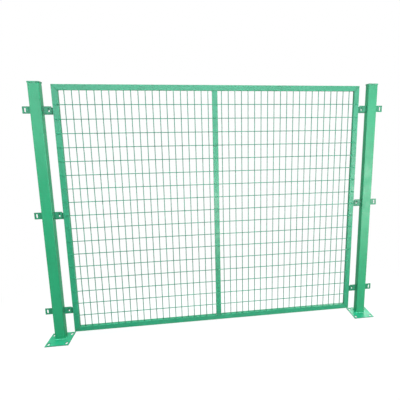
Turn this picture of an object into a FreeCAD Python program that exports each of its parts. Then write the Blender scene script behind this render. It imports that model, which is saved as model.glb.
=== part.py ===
import FreeCAD, Part
import os

# Machine guard fence: a framed welded mesh panel between two posts on base plates.
# Millimetres. The origin is on the floor under the middle of the left base plate,
# +X runs along the fence to the right post, the front faces -Y and +Z is up.

# Mesh
WIRE_DIAMETER = 5.0
COLUMN_PITCH = 50.0
ROW_PITCH = 100.0
COLUMNS_PER_BAY = 21
ROWS = 17
EDGE_COLUMN_GAP = 43.0
LAP_ON_STILE = 30.0

# Frame of mitred rectangular tube
TUBE_FACE = 40.0
TUBE_DEPTH = 25.0
TUBE_WALL = 2.0
TUBE_EDGE = 1.5
CENTRE_STILE_FACE = 40.0
FRAME_ABOVE_FLOOR = 52.0

# Posts
POST_WIDTH = 75.0
POST_DEPTH = 45.0
POST_WALL = 2.5
POST_CORNER = 4.0
POST_ABOVE_FRAME = 8.0
POST_TO_FRAME_GAP = 70.0

# Post caps
CAP_OVERHANG = 2.0
CAP_RIM = 10.0
CAP_CHAMFER = 3.0
CAP_TOP_WALL = 4.0
CAP_SKIRT_DEPTH = 20.0
CAP_SKIRT_WALL = 2.5
CAP_SKIRT_CLEARANCE = 0.5

# Base plates
PLATE_WIDTH = 170.0
PLATE_DEPTH = 150.0
PLATE_THICKNESS = 6.0
POST_BEHIND_PLATE_CENTRE = 18.0
ANCHOR_SPACING_X = 130.0
ANCHOR_SPACING_Y = 106.0
ANCHOR_SLOT_WIDTH = 18.0
ANCHOR_SLOT_LENGTH = 26.0

# Connecting tabs, three to each upright
TAB_THICKNESS = 4.0
TAB_HEIGHT = 50.0
TAB_SPREAD = 760.0
TAB_RAISE = 5.0
POST_TAB_LENGTH = 58.0
SLOT_FROM_POST = 40.0
TAB_SLOT_WIDTH = 11.0
TAB_SLOT_LENGTH = 30.0
FRAME_TAB_LENGTH = 64.0
FRAME_TAB_HOLE = 12.0
FRAME_TAB_DROP = 8.0

# Derived places
UP = FreeCAD.Vector(0, 0, 1)
ALONG = FreeCAD.Vector(1, 0, 0)
BACK = FreeCAD.Vector(0, 1, 0)

# A square bar with the same section area as the round wire keeps the mesh's weight.
BAR = WIRE_DIAMETER * (3.141592653589793 ** 0.5) / 2
MID_Y = POST_BEHIND_PLATE_CENTRE
FRAME_FRONT_Y = MID_Y - TUBE_DEPTH / 2
FRAME_BACK_Y = MID_Y + TUBE_DEPTH / 2
POST_FRONT_Y = MID_Y - POST_DEPTH / 2
POST_BACK_Y = MID_Y + POST_DEPTH / 2

FRAME_LEFT = POST_WIDTH / 2 + POST_TO_FRAME_GAP
OPENING_LEFT = FRAME_LEFT + TUBE_FACE
CENTRE_X = OPENING_LEFT + EDGE_COLUMN_GAP + COLUMNS_PER_BAY * COLUMN_PITCH
OPENING_RIGHT = 2 * CENTRE_X - OPENING_LEFT
FRAME_RIGHT = 2 * CENTRE_X - FRAME_LEFT
RIGHT_POST_X = 2 * CENTRE_X

FRAME_BOTTOM = FRAME_ABOVE_FLOOR
OPENING_BOTTOM = FRAME_BOTTOM + TUBE_FACE
OPENING_TOP = OPENING_BOTTOM + (ROWS + 1) * ROW_PITCH
FRAME_TOP = OPENING_TOP + TUBE_FACE
POST_TOP = FRAME_TOP + POST_ABOVE_FRAME
TAB_MID_Z = (FRAME_BOTTOM + FRAME_TOP) / 2 + TAB_RAISE
TAB_LEVELS = {
    "top": TAB_MID_Z + TAB_SPREAD,
    "middle": TAB_MID_Z,
    "bottom": TAB_MID_Z - TAB_SPREAD,
}


def box(low, high):
    size = [b - a for a, b in zip(low, high)]
    return Part.makeBox(size[0], size[1], size[2], FreeCAD.Vector(*low))


def edges_along(solid, direction):
    found = []
    for edge in solid.Edges:
        run = edge.Vertexes[-1].Point - edge.Vertexes[0].Point
        if run.Length > 0 and abs(run.dot(direction)) > 0.999 * run.Length:
            found.append(edge)
    return found


def hollow(outer, low, high, direction, wall):
    """Opens a bar that fills the box from low to high into a tube along direction."""
    walls = [0 if part else wall for part in direction]
    inner_low = [a + w for a, w in zip(low, walls)]
    inner_high = [b - w for b, w in zip(high, walls)]
    return outer.cut(box(inner_low, inner_high))


def frame_tube(low, high, direction):
    bar = box(low, high)
    bar = bar.makeChamfer(TUBE_EDGE, edges_along(bar, direction))
    return hollow(bar, low, high, direction, TUBE_WALL)


def front_prism(corners):
    """A prism through the frame's depth, from its outline in X and Z."""
    points = [FreeCAD.Vector(x, FRAME_FRONT_Y, z) for x, z in corners]
    outline = Part.makePolygon(points + points[:1])
    return Part.Face(outline).extrude(BACK * TUBE_DEPTH)


def mitred_stile(outer_x, inner_x):
    low = (min(outer_x, inner_x), FRAME_FRONT_Y, FRAME_BOTTOM)
    high = (max(outer_x, inner_x), FRAME_BACK_Y, FRAME_TOP)
    mitres = front_prism([
        (outer_x, FRAME_BOTTOM),
        (inner_x, OPENING_BOTTOM),
        (inner_x, OPENING_TOP),
        (outer_x, FRAME_TOP),
    ])
    return frame_tube(low, high, UP).common(mitres)


def mitred_rail(outer_z, inner_z):
    low = (FRAME_LEFT, FRAME_FRONT_Y, min(outer_z, inner_z))
    high = (FRAME_RIGHT, FRAME_BACK_Y, max(outer_z, inner_z))
    mitres = front_prism([
        (FRAME_LEFT, outer_z),
        (OPENING_LEFT, inner_z),
        (OPENING_RIGHT, inner_z),
        (FRAME_RIGHT, outer_z),
    ])
    return frame_tube(low, high, ALONG).common(mitres)


def centre_stile():
    half = CENTRE_STILE_FACE / 2
    low = (CENTRE_X - half, FRAME_FRONT_Y, OPENING_BOTTOM)
    high = (CENTRE_X + half, FRAME_BACK_Y, OPENING_TOP)
    return frame_tube(low, high, UP)


def mesh_bay(side):
    """One half of the mesh: side -1 lies left of the centre stile, +1 right of it.

    The level wires lie on the front faces of the stiles. The upright wires are
    welded behind them and stand between the rails.
    """
    outer_end = CENTRE_X + side * (CENTRE_X - OPENING_LEFT + LAP_ON_STILE)
    start = min(outer_end, CENTRE_X)
    end = max(outer_end, CENTRE_X)
    bars = []
    for row in range(1, ROWS + 1):
        level = OPENING_BOTTOM + row * ROW_PITCH
        low = (start, FRAME_FRONT_Y - BAR, level - BAR / 2)
        bars.append(box(low, (end, FRAME_FRONT_Y, level + BAR / 2)))
    for column in range(1, COLUMNS_PER_BAY + 1):
        x = CENTRE_X + side * column * COLUMN_PITCH
        low = (x - BAR / 2, FRAME_FRONT_Y, OPENING_BOTTOM)
        bars.append(box(low, (x + BAR / 2, FRAME_FRONT_Y + BAR, OPENING_TOP)))
    return bars[0].multiFuse(bars[1:])


def post(centre_x):
    low = (centre_x - POST_WIDTH / 2, POST_FRONT_Y, PLATE_THICKNESS)
    high = (centre_x + POST_WIDTH / 2, POST_BACK_Y, POST_TOP)
    bar = box(low, high)
    bar = bar.makeFillet(POST_CORNER, edges_along(bar, UP))
    return hollow(bar, low, high, UP, POST_WALL)


def post_cap(centre_x):
    """A hollow lid that overhangs the tube, with a skirt that drops into it."""
    half_w = POST_WIDTH / 2 + CAP_OVERHANG
    half_d = POST_DEPTH / 2 + CAP_OVERHANG
    low = (centre_x - half_w, MID_Y - half_d, POST_TOP)
    high = (centre_x + half_w, MID_Y + half_d, POST_TOP + CAP_RIM)
    lid = box(low, high)
    top_edges = [edge for edge in lid.Edges if edge.BoundBox.ZMin > high[2] - 0.01]
    lid = lid.makeChamfer(CAP_CHAMFER, top_edges)
    inset = POST_WALL + CAP_SKIRT_CLEARANCE
    bottom = POST_TOP - CAP_SKIRT_DEPTH
    skirt = cap_core(centre_x, inset, bottom, POST_TOP)
    hollow = cap_core(centre_x, inset + CAP_SKIRT_WALL, bottom, high[2] - CAP_TOP_WALL)
    return lid.fuse(skirt).cut(hollow).removeSplitter()


def cap_core(centre_x, inset, bottom, top):
    """A block that stands inside the post's outline, set in from it all round."""
    low = (centre_x - POST_WIDTH / 2 + inset, POST_FRONT_Y + inset, bottom)
    high = (centre_x + POST_WIDTH / 2 - inset, POST_BACK_Y - inset, top)
    return box(low, high)


def slot_cutter(centre, size, run, through):
    """A cutter for a round-ended slot of width, length and depth size.

    It starts from centre, is long along run and goes through the plate along through.
    """
    width, length, depth = size
    half_run = run * ((length - width) / 2)
    half_width = run.cross(through) * (width / 2)
    ends = [Part.makeCylinder(width / 2, depth, centre + way, through) for way in (half_run, half_run * -1)]
    corners = [
        centre - half_run - half_width,
        centre - half_run + half_width,
        centre + half_run + half_width,
        centre + half_run - half_width,
    ]
    outline = Part.makePolygon(corners + corners[:1])
    middle = Part.Face(outline).extrude(through * depth)
    return middle.fuse(ends)


def base_plate(centre_x):
    low = (centre_x - PLATE_WIDTH / 2, -PLATE_DEPTH / 2, 0)
    high = (centre_x + PLATE_WIDTH / 2, PLATE_DEPTH / 2, PLATE_THICKNESS)
    plate = box(low, high)
    for x in (-ANCHOR_SPACING_X / 2, ANCHOR_SPACING_X / 2):
        for y in (-ANCHOR_SPACING_Y / 2, ANCHOR_SPACING_Y / 2):
            foot = FreeCAD.Vector(centre_x + x, y, 0)
            size = (ANCHOR_SLOT_WIDTH, ANCHOR_SLOT_LENGTH, PLATE_THICKNESS)
            plate = plate.cut(slot_cutter(foot, size, BACK, UP))
    return plate


def tab_blank(root_x, side, length, front_y, level):
    """A flat tab that runs from root_x towards side."""
    tip_x = root_x + side * length
    low = (min(root_x, tip_x), front_y, level - TAB_HEIGHT / 2)
    high = (max(root_x, tip_x), front_y + TAB_THICKNESS, level + TAB_HEIGHT / 2)
    return box(low, high)


def post_tab(root_x, side, level):
    """A tab on a post's side, in front of the mid plane, with an upright slot."""
    front_y = MID_Y - TAB_THICKNESS
    blank = tab_blank(root_x, side, POST_TAB_LENGTH, front_y, level)
    centre = FreeCAD.Vector(root_x + side * SLOT_FROM_POST, front_y, level)
    size = (TAB_SLOT_WIDTH, TAB_SLOT_LENGTH, TAB_THICKNESS)
    return blank.cut(slot_cutter(centre, size, UP, BACK))


def frame_tab(root_x, side, level):
    """A tab on the panel's side that laps behind a post tab, a little lower."""
    dropped = level - FRAME_TAB_DROP
    blank = tab_blank(root_x, side, FRAME_TAB_LENGTH, MID_Y, dropped)
    hole_x = root_x + side * (POST_TO_FRAME_GAP - SLOT_FROM_POST)
    start = FreeCAD.Vector(hole_x, MID_Y, dropped)
    return blank.cut(Part.makeCylinder(FRAME_TAB_HOLE / 2, TAB_THICKNESS, start, BACK))


def all_parts():
    parts = {
        "frame_left_stile": mitred_stile(FRAME_LEFT, OPENING_LEFT),
        "frame_right_stile": mitred_stile(FRAME_RIGHT, OPENING_RIGHT),
        "frame_top_rail": mitred_rail(FRAME_TOP, OPENING_TOP),
        "frame_bottom_rail": mitred_rail(FRAME_BOTTOM, OPENING_BOTTOM),
        "frame_centre_stile": centre_stile(),
        "mesh_left_bay": mesh_bay(-1),
        "mesh_right_bay": mesh_bay(1),
    }
    for name, centre_x, inward in (("left", 0, 1), ("right", RIGHT_POST_X, -1)):
        parts[name + "_post"] = post(centre_x)
        parts[name + "_post_cap"] = post_cap(centre_x)
        parts[name + "_base_plate"] = base_plate(centre_x)
        inner_side = centre_x + inward * POST_WIDTH / 2
        outer_side = centre_x - inward * POST_WIDTH / 2
        frame_side = inner_side + inward * POST_TO_FRAME_GAP
        frame_tabs = []
        for place, level in TAB_LEVELS.items():
            tabs = [post_tab(inner_side, inward, level), post_tab(outer_side, -inward, level)]
            parts[f"{name}_post_tabs_{place}"] = Part.makeCompound(tabs)
            frame_tabs.append(frame_tab(frame_side, -inward, level))
        parts[f"frame_{name}_tabs"] = Part.makeCompound(frame_tabs)
    return parts


os.makedirs("parts", exist_ok=True)
for node, shape in all_parts().items():
    shape.exportStep(f"parts/{node}.step")
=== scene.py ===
import math
import random

import bpy
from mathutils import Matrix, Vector


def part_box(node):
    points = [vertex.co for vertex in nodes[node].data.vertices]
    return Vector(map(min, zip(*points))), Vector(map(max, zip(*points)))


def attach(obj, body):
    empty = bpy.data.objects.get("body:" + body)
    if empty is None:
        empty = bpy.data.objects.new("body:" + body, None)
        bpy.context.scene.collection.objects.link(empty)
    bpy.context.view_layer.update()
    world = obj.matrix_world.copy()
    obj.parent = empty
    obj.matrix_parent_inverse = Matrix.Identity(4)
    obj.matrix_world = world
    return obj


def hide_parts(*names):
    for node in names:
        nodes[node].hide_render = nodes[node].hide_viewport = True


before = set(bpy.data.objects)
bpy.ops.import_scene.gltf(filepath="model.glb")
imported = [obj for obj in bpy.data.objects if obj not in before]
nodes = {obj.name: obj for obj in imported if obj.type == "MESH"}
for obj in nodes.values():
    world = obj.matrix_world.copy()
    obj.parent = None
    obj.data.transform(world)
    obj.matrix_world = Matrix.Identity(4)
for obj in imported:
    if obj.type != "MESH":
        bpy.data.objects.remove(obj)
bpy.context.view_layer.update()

# Lengths are in metres, angles in degrees unless a name says otherwise, and colours are linear.
X = Vector((1, 0, 0))
Y = Vector((0, 1, 0))
Z = Vector((0, 0, 1))

# Mesh. The coat adds to the steel wire, and crossing wires are pressed a little into each other.
STEEL_RADIUS = 0.0025
COAT_BUILD = 0.0004
WIRE_RADIUS = STEEL_RADIUS + COAT_BUILD
WIRE_PRESS = 0.0003
COLUMN_PITCH = 0.050
ROW_PITCH = 0.100
COLUMNS_PER_BAY = 21
ROWS = 17
LAP_ON_STILE = 0.030
SINK_IN_RAIL = 0.0016

# Wire sections and how far apart they are. A wire's ends are eased down to a share of its radius.
WIRE_SIDES = 10
LEVEL_SPACING = 0.020
UPRIGHT_SPACING = 0.025
END_EASE = 0.0004
END_SHARE = 0.75

# Unevenness of the mesh: its bow, the bow's waves in radians per metre, and the drift of single wires.
PANEL_BOW = 0.0012
BOW_WAVES_ALONG = 5.0
BOW_WAVES_UP = 3.0
WIRE_DRIFT = 0.0005
SEED = 41

# Welds of the wires. The rings are a nugget's section, as shares of its radius and height.
NUGGET_RADIUS = 0.0042
NUGGET_HEIGHT = 0.0016
NUGGET_SIDES = 12
NUGGET_RINGS = ((0.55, 0.80), (0.90, 0.40), (1.0, 0.0), (0.90, -0.40), (0.55, -0.80))
LOBES = 4
CROSSING_LOBE_DEPTH = 0.14
CROSSING_SIZES = (0.88, 1.10)
RAIL_SIZES = (0.90, 1.15)
RAIL_NUGGET_SHIFT = 0.0004

# Weld runs: pitch of the ripples, sections in each and fewest in a run, quads across, taper at the ends,
# share of the size left at the tips, depth below the face, and the last phase that a run may start with.
BEAD_PITCH = 0.0032
BEAD_STEPS = 5
BEAD_FEWEST_STEPS = 6
BEAD_ACROSS = 8
BEAD_TAPER = 0.003
BEAD_TIP = 0.08
BEAD_SINK = 0.00012
BEAD_LAST_PHASE = 6.0

# Points of a run's path that are nearer than this are one point.
SAME_POINT = 1e-7

# A ripple's height between and on its crests, as shares of the crown, and how far its sides trail.
RIPPLE_BASE = 0.72
RIPPLE_CREST = 0.38
RIPPLE_TRAIL = 0.45

# Slow swelling of a run: share of its size, radians per metre, and share of the run's phase.
BEAD_SWELLS = ((0.07, 310.0, 1.0), (0.05, 97.0, 2.1))

# Half width and crown of each kind of run, and its lift: 1 in an inside corner, 0 on a flat.
SEAM_RUN = (0.0026, 0.0008)
CORNER_RUN = (0.0024, 0.0007)
TACK_RUN = (0.0013, 0.0006)
TAB_RUN = (0.0030, 0.0008)
FOOT_RUN = (0.0042, 0.0010)
IN_CORNER = 1.0
ON_FLAT = 0.0

# How far runs stop short of the end of their joint.
MITRE_SHORT = 0.003
RUN_SHORT = 0.002

# Tacks on the level wires: distance from the wire's end or the stile's edge, and length.
END_TACK = (0.006, 0.010)
EDGE_TACK = (0.007, 0.008)
CENTRE_TACK = (0.008, 0.009)
TACK_SHIFT = 0.001
TACK_BITE = 0.0009

# Sizes of the solids that the welds follow.
TAB_HEIGHT = 0.050
POST_CORNER = 0.004
POST_CORNER_POINTS = 5

# Edge rounding of the solids. The triangles of a flat are joined where they meet at less than the flat angle,
# and edges are rounded above the rounded angle and take the finish in the edge slot.
EDGE_ROUND = 0.0006
CAP_ROUND = 0.0010
ROUND_SEGMENTS = 2
JOIN_DISTANCE = 0.000005
FLAT_ANGLE = 1.0
ROUNDED_ANGLE = 30.0
EDGE_SLOT = 1

# Edges of the added pieces stay crisp above this angle.
SHARP_ANGLE = 80.0

# Colours.
WHITE = (1.0, 1.0, 1.0)
COAT_DEEP = (0.009, 0.280, 0.115)
COAT_MAIN = (0.012, 0.330, 0.140)
COAT_THIN = (0.030, 0.390, 0.195)
COAT_WORN = (0.150, 0.520, 0.335)
FRAME_DEEP = (0.012, 0.262, 0.120)
FRAME_MAIN = (0.015, 0.308, 0.148)
# A lighter copy of the coat for the base plates: painted light, for the stronger light on their top faces.
LIT_PLATE_DEEP = (0.008, 0.340, 0.160)
LIT_PLATE_MAIN = (0.010, 0.415, 0.205)
# Painted shade on the plates' cut edges.
PLATE_EDGE_SHADE = (0.020, 0.190, 0.105)
# A darker copy of the coat for the tabs: painted shade of the posts beside them.
TAB_SHADED_DEEP = (0.013, 0.200, 0.094)
TAB_SHADED_MAIN = (0.017, 0.240, 0.114)
SEAM_DEEP = (0.008, 0.170, 0.074)
SEAM_MAIN = (0.011, 0.215, 0.094)
WIRE_DEEP = (0.012, 0.195, 0.115)
WIRE_MAIN = (0.016, 0.250, 0.145)
CAP_DEEP = (0.012, 0.230, 0.105)
CAP_MAIN = (0.018, 0.290, 0.135)
DUST = (0.420, 0.520, 0.450)
GRIME = (0.070, 0.150, 0.095)
# Painted shade in corners, slots and gaps between parts.
PAINTED_SHADE = (0.008, 0.085, 0.045)
FLOOR_SEEN = (0.95, 0.95, 0.95)
FLOOR_BOUNCE = (0.30, 0.30, 0.30)

# Layers of a coat: noise scale per metre, detail, the range of noise that counts and the range it gives.
NOISE_ROUGHNESS = 0.55
COAT_DRIFT = (2.2, 3.0, 0.30, 0.70, 0.0, 1.0)
COAT_MOTTLE = (55.0, 4.0, 0.35, 0.65, 0.0, 0.35)
SCUFF_ZONES = (7.0, 2.0, 0.52, 0.68, 0.0, 1.0)
DUST_PATCHES = (60.0, 5.0, 0.45, 0.75, 0.0, 0.06)
GRIME_PATCHES = (24.0, 5.0, 0.45, 0.78, 0.0, 0.30)
GLOSS_PATCHES = (14.0, 4.0, 0.30, 0.70)
GLOSSIER = 0.06
DULLER = 0.07

# Scuffs are noise drawn out along the tubes: its scale each way, detail, range that counts and range given.
SCUFF_STRETCH = (420.0, 420.0, 26.0)
SCUFF_DETAIL = 2.0
SCUFF_LINES = (0.66, 0.72, 0.0, 0.55)

# How far up a face has to look to catch dust, and how far up a face may look to take the painted shade of a
# plate's cut edge.
DUST_FACING = (0.60, 0.95)
EDGE_SHADE_FACING = (0.20, 0.60)

# Painted shade in corners and slots: its reach, its most, and how open a spot is where the shade is darkest
# and where there is none.
SHADE_REACH = 0.012
SHADE_SAMPLES = 8
SHADE_MOST = 0.85
COMMON_SHADE_OPENNESS = (0.20, 0.85)
TAB_SHADE_OPENNESS = (0.60, 0.95)

# Height of the grime above the floor, and how far the frame's coat runs out along a wire.
GRIME_HEIGHT = 0.30
COAT_RUN_OUT = 0.030

# Orange peel of the coats: size and depth.
FLAT_PEEL = (0.0022, 0.00018)
EDGE_PEEL = (0.0022, 0.00010)
WIRE_PEEL = (0.0016, 0.00012)
WELD_PEEL = (0.0012, 0.00012)
PEEL_STRENGTH = 0.35
PEEL_DETAIL = 1.5

# Layers of the caps' plastic, written as the coats' layers are, and its grain.
CAP_DRIFT = (18.0, 3.0, 0.30, 0.70, 0.0, 1.0)
CAP_BLOOM = (70.0, 5.0, 0.52, 0.75, 0.0, 0.22)
CAP_GLOSS = (40.0, 3.0, 0.30, 0.70, 0.46, 0.60)
CAP_SPECULAR = 0.4
GRAIN_SCALE = 1400.0
GRAIN_DETAIL = 3.0
GRAIN_STRENGTH = 0.4
GRAIN_DEPTH = 0.00015

# Floor: its rings, half the fence's length, where the floor beyond it turns white, and its share of white
# beside the fence.
FLOOR_RINGS = (4.0, 12.0, 40.0)
FLOOR_SIDES = 48
FENCE_HALF = 1.30
FLOOR_FADE = (0.08, 1.0)
FLOOR_WHITE_NEAR = 0.70
FLOOR_ROUGHNESS = 0.9
FLOOR_SPECULAR = 0.1

# Sky: the rise of a direction at its low and high end, and its strength there.
SKY_RISE = (-0.1, 0.9)
SKY_STRENGTH = (0.12, 0.50)

# Key light.
KEY_POWER = 1.45
KEY_SPREAD = 50.0
KEY_TURN = (10.0, 0.0, 8.0)

# Panel lamps: name, size, watts as a light and in reflections, place from the fence's middle, turn, colour.
COOL = (0.80, 0.93, 1.0)
PANEL_LAMPS = (
    ("front", (7.0, 1.1), 160.0, 470.0, (0.0, -3.0, 2.35), (84, 0, 0), COOL),
    ("window", (0.9, 1.0), 38.0, 122.0, (2.8, -2.8, 0.52), (94, 0, 30), WHITE),
    ("low_front", (0.5, 0.6), 0.0, 95.0, (0.20, -2.6, 0.32), (98, 0, 4), WHITE),
    ("far_window", (1.3, 0.9), 36.0, 93.6, (3.25, 3.4, 2.4), (-62, 0, -30), WHITE),
    ("back", (7.0, 1.2), 85.0, 0.0, (0.0, 3.4, 2.4), (-78, 0, 0), WHITE),
)

# Camera, from the photograph's perspective. Sensor and lens are in millimetres.
CAMERA_PLACE = (1.0781, -2.2863, 1.6171)
CAMERA_TURN = (81.130, 0.615, -7.167)
CAMERA_LENS = 27.1965
CAMERA_SENSOR = 36.0
CAMERA_SHIFT = (-0.0800, -0.0616)
CAMERA_REACH = 200.0


# Places, read from the solids.
left_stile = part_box("frame_left_stile")
right_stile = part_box("frame_right_stile")
top_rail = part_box("frame_top_rail")
bottom_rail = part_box("frame_bottom_rail")
centre_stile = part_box("frame_centre_stile")
front_y = left_stile[0][1]
back_y = left_stile[1][1]
frame_left = left_stile[0][0]
frame_right = right_stile[1][0]
frame_bottom = bottom_rail[0][2]
frame_top = top_rail[1][2]
opening_left = left_stile[1][0]
opening_right = right_stile[0][0]
opening_bottom = bottom_rail[1][2]
opening_top = top_rail[0][2]
centre_left = centre_stile[0][0]
centre_right = centre_stile[1][0]
centre_x = (centre_left + centre_right) / 2
wire_left = opening_left - LAP_ON_STILE
wire_right = opening_right + LAP_ON_STILE
level_y = front_y - STEEL_RADIUS + WIRE_PRESS
upright_y = front_y + STEEL_RADIUS - WIRE_PRESS

chance = random.Random(SEED)


def drift():
    return chance.uniform(-1, 1) * WIRE_DRIFT


row_places = [opening_bottom + ROW_PITCH * (i + 1) + drift() for i in range(ROWS)]
column_steps = [side * (i + 1) for side in (-1, 1) for i in range(COLUMNS_PER_BAY)]
column_places = {step: centre_x + COLUMN_PITCH * step + drift() for step in column_steps}


# Node helpers. These are the places of a Mix node's colour sockets.
FIRST_COLOUR = 6
SECOND_COLOUR = 7
MIXED_COLOUR = 2


def new_material(name):
    material = bpy.data.materials.new(name)
    material.use_nodes = True
    tree = material.node_tree
    return material, tree, tree.nodes["Principled BSDF"]


def add_node(tree, kind, **inputs):
    made = tree.nodes.new(kind)
    for key, value in inputs.items():
        made.inputs[key.replace("_", " ")].default_value = value
    return made


def object_coords(tree):
    return tree.nodes.new("ShaderNodeTexCoord").outputs["Object"]


def split(tree, vector):
    made = tree.nodes.new("ShaderNodeSeparateXYZ")
    tree.links.new(vector, made.inputs["Vector"])
    return made.outputs


def noise(tree, coords, scale, detail):
    made = add_node(tree, "ShaderNodeTexNoise", Scale=scale, Detail=detail, Roughness=NOISE_ROUGHNESS)
    tree.links.new(coords, made.inputs["Vector"])
    return made.outputs["Fac"]


def stretched(tree, coords, scale):
    made = add_node(tree, "ShaderNodeMapping", Scale=scale)
    tree.links.new(coords, made.inputs["Vector"])
    return made.outputs["Vector"]


def remap(tree, value, low, high, to_low, to_high):
    made = add_node(tree, "ShaderNodeMapRange")
    made.interpolation_type = "SMOOTHSTEP"
    for key, number in (("From Min", low), ("From Max", high), ("To Min", to_low), ("To Max", to_high)):
        made.inputs[key].default_value = number
    tree.links.new(value, made.inputs["Value"])
    return made.outputs["Result"]


def layer(tree, coords, scale, detail, low, high, to_low, to_high):
    return remap(tree, noise(tree, coords, scale, detail), low, high, to_low, to_high)


def combine(tree, operation, first, second):
    made = tree.nodes.new("ShaderNodeMath")
    made.operation = operation
    tree.links.new(first, made.inputs[0])
    tree.links.new(second, made.inputs[1])
    return made.outputs["Value"]


def multiply(tree, first, second):
    return combine(tree, "MULTIPLY", first, second)


def add_values(tree, first, second):
    return combine(tree, "ADD", first, second)


def vector_math(tree, operation, source, other=(0.0, 0.0, 0.0)):
    made = tree.nodes.new("ShaderNodeVectorMath")
    made.operation = operation
    made.inputs[1].default_value = other
    tree.links.new(source, made.inputs[0])
    return made.outputs


def mix_colour(tree, factor, first, second):
    made = tree.nodes.new("ShaderNodeMix")
    made.data_type = "RGBA"
    tree.links.new(factor, made.inputs[0])
    for number, value in ((FIRST_COLOUR, first), (SECOND_COLOUR, second)):
        if isinstance(value, tuple):
            made.inputs[number].default_value = (*value, 1.0)
        else:
            tree.links.new(value, made.inputs[number])
    return made.outputs[MIXED_COLOUR]


def mix_shaders(tree, factor, first, second):
    made = tree.nodes.new("ShaderNodeMixShader")
    tree.links.new(factor, made.inputs["Fac"])
    tree.links.new(first, made.inputs[1])
    tree.links.new(second, made.inputs[2])
    return made.outputs["Shader"]


def bump(tree, shader, height, strength, depth):
    made = add_node(tree, "ShaderNodeBump", Strength=strength, Distance=depth)
    tree.links.new(height, made.inputs["Height"])
    tree.links.new(made.outputs["Normal"], shader.inputs["Normal"])


def view_rays(tree):
    """The camera's own rays, and all rays that see the background, in gloss or through glass as well."""
    rays = tree.nodes.new("ShaderNodeLightPath").outputs
    seen = rays["Is Camera Ray"]
    for kind in ("Is Glossy Ray", "Is Transmission Ray"):
        seen = add_values(tree, seen, rays[kind])
    return rays["Is Camera Ray"], seen


def near_tubes(tree, coords):
    """1 where a wire lies on a stile or reaches a rail and shares its coat, fading to 0 in the open."""
    place = split(tree, coords)
    x = place["X"]
    z = place["Z"]
    left = remap(tree, x, opening_left, opening_left + COAT_RUN_OUT, 1.0, 0.0)
    right = remap(tree, x, opening_right - COAT_RUN_OUT, opening_right, 0.0, 1.0)
    middle = multiply(tree, remap(tree, x, centre_left - COAT_RUN_OUT, centre_left, 0.0, 1.0),
                      remap(tree, x, centre_right, centre_right + COAT_RUN_OUT, 1.0, 0.0))
    low = remap(tree, z, opening_bottom, opening_bottom + COAT_RUN_OUT, 1.0, 0.0)
    high = remap(tree, z, opening_top - COAT_RUN_OUT, opening_top, 0.0, 1.0)
    total = left
    for share in (right, middle, low, high):
        total = add_values(tree, total, share)
    return total


def coated(name, deep, main, worn, peel, roughness, specular, ends=None, shade_openness=COMMON_SHADE_OPENNESS, edge_shade=None):
    """A coat of paint: drifting tone, fine peel, scuffs, dust on top faces, grime near the floor and painted
    shade in corners and slots.

    ends is the colour that a wire takes where it is welded to the frame and painted with it.
    shade_openness is how open a spot is to the air, from 0 to 1, where the painted shade is darkest and where
    there is none.
    edge_shade is a darker colour painted on a flat plate's cut edges as shade.
    """
    material, tree, shader = new_material(name)
    coords = object_coords(tree)
    height = split(tree, coords)["Z"]
    facing = split(tree, tree.nodes.new("ShaderNodeNewGeometry").outputs["Normal"])["Z"]

    colour = mix_colour(tree, layer(tree, coords, *COAT_DRIFT), deep, main)
    colour = mix_colour(tree, layer(tree, coords, *COAT_MOTTLE), colour, main)
    if ends:
        colour = mix_colour(tree, near_tubes(tree, coords), colour, ends)
    # Painted shade on a plate's cut edges, the faces that look sideways.
    if edge_shade:
        colour = mix_colour(tree, remap(tree, facing, *EDGE_SHADE_FACING, 1.0, 0.0), colour, edge_shade)

    scuff_noise = noise(tree, stretched(tree, coords, SCUFF_STRETCH), 1.0, SCUFF_DETAIL)
    scuff_lines = remap(tree, scuff_noise, *SCUFF_LINES)
    scuffs = multiply(tree, scuff_lines, layer(tree, coords, *SCUFF_ZONES))
    colour = mix_colour(tree, scuffs, colour, worn)

    upward = remap(tree, facing, *DUST_FACING, 0.0, 1.0)
    dust = multiply(tree, upward, layer(tree, coords, *DUST_PATCHES))
    colour = mix_colour(tree, dust, colour, DUST)

    # Painted shade: the coat is darkened where ambient occlusion finds a corner, a slot or a gap between
    # parts.
    occlusion = add_node(tree, "ShaderNodeAmbientOcclusion", Distance=SHADE_REACH)
    occlusion.samples = SHADE_SAMPLES
    painted_shade = remap(tree, occlusion.outputs["AO"], *shade_openness, SHADE_MOST, 0.0)
    colour = mix_colour(tree, painted_shade, colour, PAINTED_SHADE)

    near_floor = remap(tree, height, 0.0, GRIME_HEIGHT, 1.0, 0.0)
    grime = multiply(tree, near_floor, layer(tree, coords, *GRIME_PATCHES))
    colour = mix_colour(tree, grime, colour, GRIME)
    tree.links.new(colour, shader.inputs["Base Color"])

    gloss = layer(tree, coords, *GLOSS_PATCHES, roughness - GLOSSIER, roughness + DULLER)
    rubbed = add_values(tree, gloss, multiply(tree, scuffs, upward))
    tree.links.new(add_values(tree, rubbed, multiply(tree, dust, grime)), shader.inputs["Roughness"])
    shader.inputs["Specular IOR Level"].default_value = specular

    peel_size, peel_depth = peel
    bump(tree, shader, noise(tree, coords, 1.0 / peel_size, PEEL_DETAIL), PEEL_STRENGTH, peel_depth)
    return material


def moulded(name, deep, main):
    """Moulded plastic with a fine grain and a little bloom."""
    material, tree, shader = new_material(name)
    coords = object_coords(tree)
    colour = mix_colour(tree, layer(tree, coords, *CAP_DRIFT), deep, main)
    colour = mix_colour(tree, layer(tree, coords, *CAP_BLOOM), colour, DUST)
    tree.links.new(colour, shader.inputs["Base Color"])
    tree.links.new(layer(tree, coords, *CAP_GLOSS), shader.inputs["Roughness"])
    shader.inputs["Specular IOR Level"].default_value = CAP_SPECULAR
    bump(tree, shader, noise(tree, coords, GRAIN_SCALE, GRAIN_DETAIL), GRAIN_STRENGTH, GRAIN_DEPTH)
    return material


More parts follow.
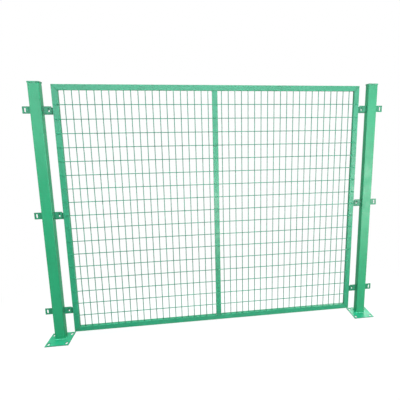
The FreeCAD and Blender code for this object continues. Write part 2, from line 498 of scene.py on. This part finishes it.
steel_coat = coated("powder_coat", COAT_DEEP, COAT_MAIN, COAT_WORN, FLAT_PEEL, roughness=0.44, specular=0.25)
frame_coat = coated("frame_coat", FRAME_DEEP, FRAME_MAIN, COAT_WORN, FLAT_PEEL, roughness=0.44, specular=0.25)
# The tabs take the darker copy of the coat as painted shade, and deeper painted shade in their slots and
# gaps.
shaded_tab_coat = coated("shaded_tab_coat", TAB_SHADED_DEEP, TAB_SHADED_MAIN, COAT_WORN, FLAT_PEEL, roughness=0.44, specular=0.20,
                  shade_openness=TAB_SHADE_OPENNESS)
# The plates take the lighter copy of the coat as painted light, and the foot welds take it as a painted
# highlight.
plate_coat = coated("plate_coat", LIT_PLATE_DEEP, LIT_PLATE_MAIN, COAT_WORN, FLAT_PEEL, roughness=0.46, specular=0.30,
                    edge_shade=PLATE_EDGE_SHADE)
lit_foot_coat = coated("lit_foot_coat", LIT_PLATE_DEEP, LIT_PLATE_MAIN, COAT_THIN, WELD_PEEL, roughness=0.40, specular=0.30)
# The rounded edges take a lighter tone: a thinner coat there, and partly a painted highlight.
edge_coat_and_highlight = coated("powder_coat_edge", COAT_MAIN, COAT_THIN, COAT_WORN, EDGE_PEEL, roughness=0.40,
                   specular=0.30)
weld_coat = coated("weld_coat", FRAME_DEEP, FRAME_MAIN, COAT_THIN, WELD_PEEL, roughness=0.38, specular=0.30)
seam_coat = coated("seam_coat", SEAM_DEEP, SEAM_MAIN, COAT_THIN, WELD_PEEL, roughness=0.42, specular=0.30)
wire_coat = coated("wire_coat", WIRE_DEEP, WIRE_MAIN, COAT_WORN, WIRE_PEEL, roughness=0.38, specular=0.30,
                   ends=FRAME_MAIN)
cap_plastic = moulded("cap_plastic", CAP_DEEP, CAP_MAIN)


# The solids keep their shapes, with the coat's own edges rounded.
def dress(name, material, edge_material, width):
    obj = nodes[name]
    obj.data.materials.clear()
    obj.data.materials.append(material)
    obj.data.materials.append(edge_material)
    joined = obj.modifiers.new("joined_faces", "WELD")
    joined.merge_threshold = JOIN_DISTANCE
    flats = obj.modifiers.new("whole_flats", "DECIMATE")
    flats.decimate_type = "DISSOLVE"
    flats.angle_limit = math.radians(FLAT_ANGLE)
    rounding = obj.modifiers.new("edge_rounding", "BEVEL")
    rounding.width = width
    rounding.segments = ROUND_SEGMENTS
    rounding.limit_method = "ANGLE"
    rounding.angle_limit = math.radians(ROUNDED_ANGLE)
    rounding.material = EDGE_SLOT
    rounding.harden_normals = True
    rounding.use_clamp_overlap = True


def flat_finish(name):
    if "_tabs" in name:
        return shaded_tab_coat
    if name.endswith("_plate"):
        return plate_coat
    if name.startswith("frame_"):
        return frame_coat
    return steel_coat


for name in nodes:
    if name.endswith("_cap"):
        dress(name, cap_plastic, cap_plastic, CAP_ROUND)
    elif not name.startswith("mesh_"):
        dress(name, flat_finish(name), edge_coat_and_highlight, EDGE_ROUND)


# Shapes of the added pieces.
class Shape:
    """Collects the points and faces of one piece."""

    def __init__(self):
        self.points = []
        self.faces = []

    def add(self, points, faces):
        start = len(self.points)
        self.points.extend(points)
        self.faces.extend([tuple(start + i for i in face) for face in faces])

    def piece(self, name, material, slot_name, *replaced):
        mesh = bpy.data.meshes.new(name)
        mesh.from_pydata(self.points, [], self.faces)
        mesh.shade_smooth()
        mesh.set_sharp_from_angle(angle=math.radians(SHARP_ANGLE))
        mesh.materials.append(material)
        obj = bpy.data.objects.new(name, mesh)
        bpy.context.scene.collection.objects.link(obj)
        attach(obj, "root")
        if replaced:
            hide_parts(*replaced)


def part_way(value, low, high):
    return min(max((value - low) / (high - low), 0.0), 1.0)


def bow(x, z):
    """How far the mesh stands behind its flat place, between the tubes that hold it."""
    if x < centre_x:
        across = part_way(x, opening_left, centre_left)
    else:
        across = part_way(x, centre_right, opening_right)
    up = part_way(z, opening_bottom, opening_top)
    most = PANEL_BOW * math.sin(math.pi * across) * math.sin(math.pi * up)
    return most * math.cos(BOW_WAVES_ALONG * x + BOW_WAVES_UP * z)


def spaced(low, high, spacing):
    steps = int(round((high - low) / spacing))
    return [low + (high - low) * i / steps for i in range(steps + 1)]


def ring_faces(rings, sides):
    faces = []
    for i in range(rings - 1):
        for j in range(sides):
            k = (j + 1) % sides
            faces.append((i * sides + j, i * sides + k, (i + 1) * sides + k, (i + 1) * sides + j))
    return faces


def wire(shape, path, first, second):
    """A round wire along path. first, second and the path's way are right-handed."""
    start_way = (path[1] - path[0]).normalized()
    end_way = (path[-1] - path[-2]).normalized()
    stations = [(path[0], END_SHARE), (path[0] + start_way * END_EASE, 1.0)]
    stations += [(place, 1.0) for place in path[1:-1]]
    stations += [(path[-1] - end_way * END_EASE, 1.0), (path[-1], END_SHARE)]
    points = []
    for place, share in stations:
        for j in range(WIRE_SIDES):
            turn = 2 * math.pi * j / WIRE_SIDES
            offset = first * math.cos(turn) + second * math.sin(turn)
            points.append(place + offset * (WIRE_RADIUS * share))
    faces = ring_faces(len(stations), WIRE_SIDES)
    last = (len(stations) - 1) * WIRE_SIDES
    faces.append(tuple(reversed(range(WIRE_SIDES))))
    faces.append(tuple(last + j for j in range(WIRE_SIDES)))
    shape.add(points, faces)


def nugget(shape, place, size, lobe_depth, first, second, normal):
    """A pressed weld: a lens whose lobes reach into the corners between two crossing wires.

    first, second and normal are right-handed.
    """
    radius = NUGGET_RADIUS * size
    height = NUGGET_HEIGHT * size
    points = [place + normal * height]
    for out, up in NUGGET_RINGS:
        for j in range(NUGGET_SIDES):
            turn = 2 * math.pi * j / NUGGET_SIDES
            reach = radius * out * (1 - lobe_depth * math.cos(LOBES * turn))
            points.append(place + first * (reach * math.cos(turn)) + second * (reach * math.sin(turn))
                          + normal * (height * up))
    points.append(place - normal * height)
    rings = len(NUGGET_RINGS)
    last_ring = 1 + (rings - 1) * NUGGET_SIDES
    end = len(points) - 1
    faces = [tuple(1 + i for i in reversed(face)) for face in ring_faces(rings, NUGGET_SIDES)]
    for j in range(NUGGET_SIDES):
        k = (j + 1) % NUGGET_SIDES
        faces.append((0, 1 + j, 1 + k))
        faces.append((end, last_ring + k, last_ring + j))
    shape.add(points, faces)


def bead(shape, path, normals, size, lift, phase):
    """A rippled weld run along path, closed underneath. size is its half width and its crown."""
    half_width, crown = size
    travelled = [0.0]
    for i in range(len(path) - 1):
        travelled.append(travelled[-1] + (path[i + 1] - path[i]).length)
    length = travelled[-1]
    closed = (path[0] - path[-1]).length < SAME_POINT
    count = max(BEAD_FEWEST_STEPS, int(length / BEAD_PITCH * BEAD_STEPS))
    sections = count if closed else count + 1
    points = []
    spot = 0
    for i in range(sections):
        s = length * i / count
        while spot < len(path) - 2 and travelled[spot + 1] < s:
            spot += 1
        share = (s - travelled[spot]) / max(travelled[spot + 1] - travelled[spot], SAME_POINT)
        centre = path[spot].lerp(path[spot + 1], share)
        normal = normals[spot].lerp(normals[spot + 1], share).normalized()
        along = (path[spot + 1] - path[spot]).normalized()
        across = normal.cross(along).normalized()
        end = 1.0 if closed else min(min(s, length - s) / BEAD_TAPER, 1.0)
        swell = math.sqrt(1 - (1 - end) ** 2) * (1 - BEAD_TIP) + BEAD_TIP
        swell *= 1 + sum(part * math.sin(s * rate + turn * phase) for part, rate, turn in BEAD_SWELLS)
        for j in range(BEAD_ACROSS + 1):
            u = 2 * j / BEAD_ACROSS - 1
            wave = abs(math.sin(math.pi * (s / BEAD_PITCH + RIPPLE_TRAIL * u * u + phase)))
            rise = crown * math.sqrt(max(1 - u * u, 0.0)) * (RIPPLE_BASE + RIPPLE_CREST * wave)
            out = lift * half_width * swell + rise * swell - BEAD_SINK
            points.append(centre + across * (half_width * swell * u) + normal * out)
    row = BEAD_ACROSS + 1
    faces = []
    for i in range(count):
        here = i * row
        there = (i + 1) % sections * row
        for j in range(BEAD_ACROSS):
            faces.append((here + j, there + j, there + j + 1, here + j + 1))
        faces.append((here, here + BEAD_ACROSS, there + BEAD_ACROSS, there))
    if not closed:
        last = count * row
        faces.append(tuple(range(row)))
        faces.append(tuple(last + j for j in reversed(range(row))))
    shape.add(points, faces)


def any_phase():
    return chance.uniform(0.0, BEAD_LAST_PHASE)


def straight_bead(shape, start, end, normal, size, lift):
    bead(shape, [start, end], [normal.normalized()] * 2, size, lift, any_phase())


# Welded mesh: level wires in front, lapped on the stiles, and upright wires behind them.
level_wires = Shape()
for z in row_places:
    path = [Vector((x, level_y + bow(x, z), z)) for x in spaced(wire_left, wire_right, LEVEL_SPACING)]
    wire(level_wires, path, -Y, -Z)
level_wires.piece("level_wires", wire_coat, "green_coated_wire", "mesh_left_bay", "mesh_right_bay")

upright_heights = spaced(opening_bottom - SINK_IN_RAIL, opening_top + SINK_IN_RAIL, UPRIGHT_SPACING)
for side, bay in ((-1, "left"), (1, "right")):
    upright_wires = Shape()
    cross_welds = Shape()
    for step in range(1, COLUMNS_PER_BAY + 1):
        x = column_places[side * step]
        path = [Vector((x, upright_y + bow(x, z), z)) for z in upright_heights]
        wire(upright_wires, path, X, Y)
        for z in row_places:
            place = Vector((x, front_y + bow(x, z), z))
            nugget(cross_welds, place, chance.uniform(*CROSSING_SIZES), CROSSING_LOBE_DEPTH, X, Z, -Y)
        for z, turn in ((opening_bottom, 1), (opening_top, -1)):
            place = Vector((x, upright_y + RAIL_NUGGET_SHIFT, z))
            nugget(cross_welds, place, chance.uniform(*RAIL_SIZES), 0.0, X, Y * turn, Z * turn)
    upright_wires.piece("upright_wires_" + bay, wire_coat, "green_coated_wire", "mesh_" + bay + "_bay")
    cross_welds.piece("cross_welds_" + bay, wire_coat, "green_coated_wire")

# Tacks beside each level wire where it lies on a stile.
lap_welds = Shape()
tack_spots = (
    (wire_left + END_TACK[0], END_TACK[1]),
    (opening_left - EDGE_TACK[0], EDGE_TACK[1]),
    (opening_right + EDGE_TACK[0], EDGE_TACK[1]),
    (wire_right - END_TACK[0], END_TACK[1]),
    (centre_left + CENTRE_TACK[0], CENTRE_TACK[1]),
    (centre_right - CENTRE_TACK[0], CENTRE_TACK[1]),
)
for z in row_places:
    for x, length in tack_spots:
        for turn in (-1, 1):
            shift = chance.uniform(-TACK_SHIFT, TACK_SHIFT)
            place = Vector((x + shift, front_y, z + turn * (WIRE_RADIUS - TACK_BITE)))
            half = X * (length / 2)
            straight_bead(lap_welds, place - half, place + half, Z * turn - Y, TACK_RUN, IN_CORNER)
lap_welds.piece("lap_welds", weld_coat, "green_powder_coat")

# Frame welds: mitred corners and the ends of the centre stile.
frame_welds = Shape()
tube_faces = ((front_y, -Y), (back_y, Y))


def corner_run(x, z, way):
    """A run from front to back in an inside corner of the frame."""
    start = Vector((x, front_y + RUN_SHORT, z))
    end = Vector((x, back_y - RUN_SHORT, z))
    straight_bead(frame_welds, start, end, way, CORNER_RUN, IN_CORNER)


for inner_x, outer_x in ((opening_left, frame_left), (opening_right, frame_right)):
    for inner_z, outer_z in ((opening_bottom, frame_bottom), (opening_top, frame_top)):
        for y, normal in tube_faces:
            inner = Vector((inner_x, y, inner_z))
            outer = Vector((outer_x, y, outer_z))
            short = (outer - inner).normalized() * MITRE_SHORT
            straight_bead(frame_welds, inner + short, outer - short, normal, SEAM_RUN, ON_FLAT)
        corner_run(inner_x, inner_z, X * (inner_x - outer_x) + Z * (inner_z - outer_z))
for z, turn in ((opening_bottom, 1), (opening_top, -1)):
    for y, normal in tube_faces:
        start = Vector((centre_left + RUN_SHORT, y, z))
        end = Vector((centre_right - RUN_SHORT, y, z))
        straight_bead(frame_welds, start, end, normal, SEAM_RUN, ON_FLAT)
    for x, side in ((centre_left, -1), (centre_right, 1)):
        corner_run(x, z, X * side + Z * turn)
frame_welds.piece("frame_welds", seam_coat, "green_powder_coat")

# Tab welds: a run down each face of every tab, on the posts and on the frame.
tab_welds = Shape()


def tab_runs(root_x, outward, near_y, far_y, bottom, top):
    for y, normal in ((near_y, -Y), (far_y, Y)):
        start = Vector((root_x, y, bottom + RUN_SHORT))
        end = Vector((root_x, y, top - RUN_SHORT))
        straight_bead(tab_welds, start, end, X * outward + normal, TAB_RUN, IN_CORNER)


for side in ("left", "right"):
    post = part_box(side + "_post")
    for level in ("top", "middle", "bottom"):
        low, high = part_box(side + "_post_tabs_" + level)
        for root_x, outward in ((post[0][0], -1), (post[1][0], 1)):
            tab_runs(root_x, outward, low[1], high[1], low[2], high[2])
for side, root_x, outward in (("left", frame_left, -1), ("right", frame_right, 1)):
    low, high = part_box("frame_" + side + "_tabs")
    lowest = low[2] + TAB_HEIGHT / 2
    highest = high[2] - TAB_HEIGHT / 2
    for z in (lowest, (lowest + highest) / 2, highest):
        tab_runs(root_x, outward, low[1], high[1], z - TAB_HEIGHT / 2, z + TAB_HEIGHT / 2)
tab_welds.piece("tab_welds", seam_coat, "green_powder_coat")

# Foot welds: one run round each post where it stands on its plate.
foot_welds = Shape()
for side in ("left", "right"):
    low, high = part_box(side + "_post")
    plate_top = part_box(side + "_base_plate")[1][2]
    path = []
    normals = []
    corners = ((high[0], high[1], 1, 1, 0), (low[0], high[1], -1, 1, 90),
               (low[0], low[1], -1, -1, 180), (high[0], low[1], 1, -1, 270))
    for corner_x, corner_y, sign_x, sign_y, begin in corners:
        middle = Vector((corner_x - sign_x * POST_CORNER, corner_y - sign_y * POST_CORNER, plate_top))
        for i in range(POST_CORNER_POINTS):
            turn = math.radians(begin + 90 * i / (POST_CORNER_POINTS - 1))
            out = X * math.cos(turn) + Y * math.sin(turn)
            path.append(middle + out * POST_CORNER)
            normals.append((out + Z).normalized())
    path.append(path[0].copy())
    normals.append(normals[0].copy())
    bead(foot_welds, path, normals, FOOT_RUN, IN_CORNER, any_phase())
foot_welds.piece("foot_welds", lit_foot_coat, "green_powder_coat")


# Studio: a pale floor that runs out to white, a soft sky, a soft key and broad panel lamps.
def make_floor():
    points = [(centre_x, 0.0, 0.0)]
    for radius in FLOOR_RINGS:
        for j in range(FLOOR_SIDES):
            turn = 2 * math.pi * j / FLOOR_SIDES
            points.append((centre_x + radius * math.cos(turn), radius * math.sin(turn), 0.0))
    faces = [(0, 1 + j, 1 + (j + 1) % FLOOR_SIDES) for j in range(FLOOR_SIDES)]
    faces += [tuple(1 + i for i in reversed(face)) for face in ring_faces(len(FLOOR_RINGS), FLOOR_SIDES)]
    mesh = bpy.data.meshes.new("floor")
    mesh.from_pydata(points, [], faces)
    floor = bpy.data.objects.new("floor", mesh)
    bpy.context.scene.collection.objects.link(floor)

    material, tree, shader = new_material("floor")
    mesh.materials.append(material)
    shader.inputs["Roughness"].default_value = FLOOR_ROUGHNESS
    shader.inputs["Specular IOR Level"].default_value = FLOOR_SPECULAR
    # Distance from the fence line, so the floor turns white evenly all round it.
    spread = vector_math(tree, "SUBTRACT", object_coords(tree), (centre_x, 0.0, 0.0))
    aside = vector_math(tree, "ABSOLUTE", spread["Vector"])
    beyond = vector_math(tree, "SUBTRACT", aside["Vector"], (FENCE_HALF, 0.0, 0.0))
    outside = vector_math(tree, "MAXIMUM", beyond["Vector"])
    distance = vector_math(tree, "LENGTH", outside["Vector"])["Value"]
    whiteness = remap(tree, distance, *FLOOR_FADE, FLOOR_WHITE_NEAR, 1.0)
    camera_rays, seen = view_rays(tree)
    tone = mix_colour(tree, camera_rays, FLOOR_BOUNCE, FLOOR_SEEN)
    tree.links.new(tone, shader.inputs["Base Color"])
    white = add_node(tree, "ShaderNodeEmission", Strength=1.0).outputs["Emission"]
    surface = mix_shaders(tree, multiply(tree, whiteness, seen), shader.outputs["BSDF"], white)
    tree.links.new(surface, tree.nodes["Material Output"].inputs["Surface"])


def make_world():
    world = bpy.data.worlds.new("studio")
    bpy.context.scene.world = world
    world.use_nodes = True
    tree = world.node_tree
    sky = tree.nodes["Background"]
    sky.inputs["Color"].default_value = (*WHITE, 1.0)
    rise = split(tree, tree.nodes.new("ShaderNodeTexCoord").outputs["Generated"])["Z"]
    tree.links.new(remap(tree, rise, *SKY_RISE, *SKY_STRENGTH), sky.inputs["Strength"])
    white = add_node(tree, "ShaderNodeBackground", Color=(*WHITE, 1.0), Strength=1.0).outputs["Background"]
    surface = mix_shaders(tree, view_rays(tree)[1], sky.outputs["Background"], white)
    tree.links.new(surface, tree.nodes["World Output"].inputs["Surface"])


def place_object(name, data, place, turn):
    obj = bpy.data.objects.new(name, data)
    obj.location = place
    obj.rotation_euler = [math.radians(angle) for angle in turn]
    bpy.context.scene.collection.objects.link(obj)
    return obj


def panel_lamp(name, size, light, sheen, place, turn, colour):
    """A soft panel that lights and one that shows in reflections, in the same place."""
    for use, power in (("light", light), ("sheen", sheen)):
        if power == 0.0:
            continue
        lamp = bpy.data.lights.new(name + "_" + use, "AREA")
        lamp.shape = "RECTANGLE"
        lamp.size, lamp.size_y = size
        lamp.energy = power
        lamp.color = colour
        obj = place_object(lamp.name, lamp, (centre_x + place[0], place[1], place[2]), turn)
        obj.visible_camera = False
        obj.visible_diffuse = use == "light"
        obj.visible_glossy = use == "sheen"


def make_lamps():
    key = bpy.data.lights.new("key", "SUN")
    key.energy = KEY_POWER
    key.angle = math.radians(KEY_SPREAD)
    place_object("key", key, (0.0, 0.0, 0.0), KEY_TURN)
    for lamp in PANEL_LAMPS:
        panel_lamp(*lamp)


def make_camera():
    lens = bpy.data.cameras.new("camera")
    lens.lens = CAMERA_LENS
    lens.sensor_width = CAMERA_SENSOR
    lens.sensor_fit = "HORIZONTAL"
    lens.shift_x, lens.shift_y = CAMERA_SHIFT
    lens.clip_end = CAMERA_REACH
    bpy.context.scene.camera = place_object("camera", lens, CAMERA_PLACE, CAMERA_TURN)


make_floor()
make_world()
make_lamps()
make_camera()
bpy.context.scene.view_settings.view_transform = "Standard"

bpy.context.view_layer.update()
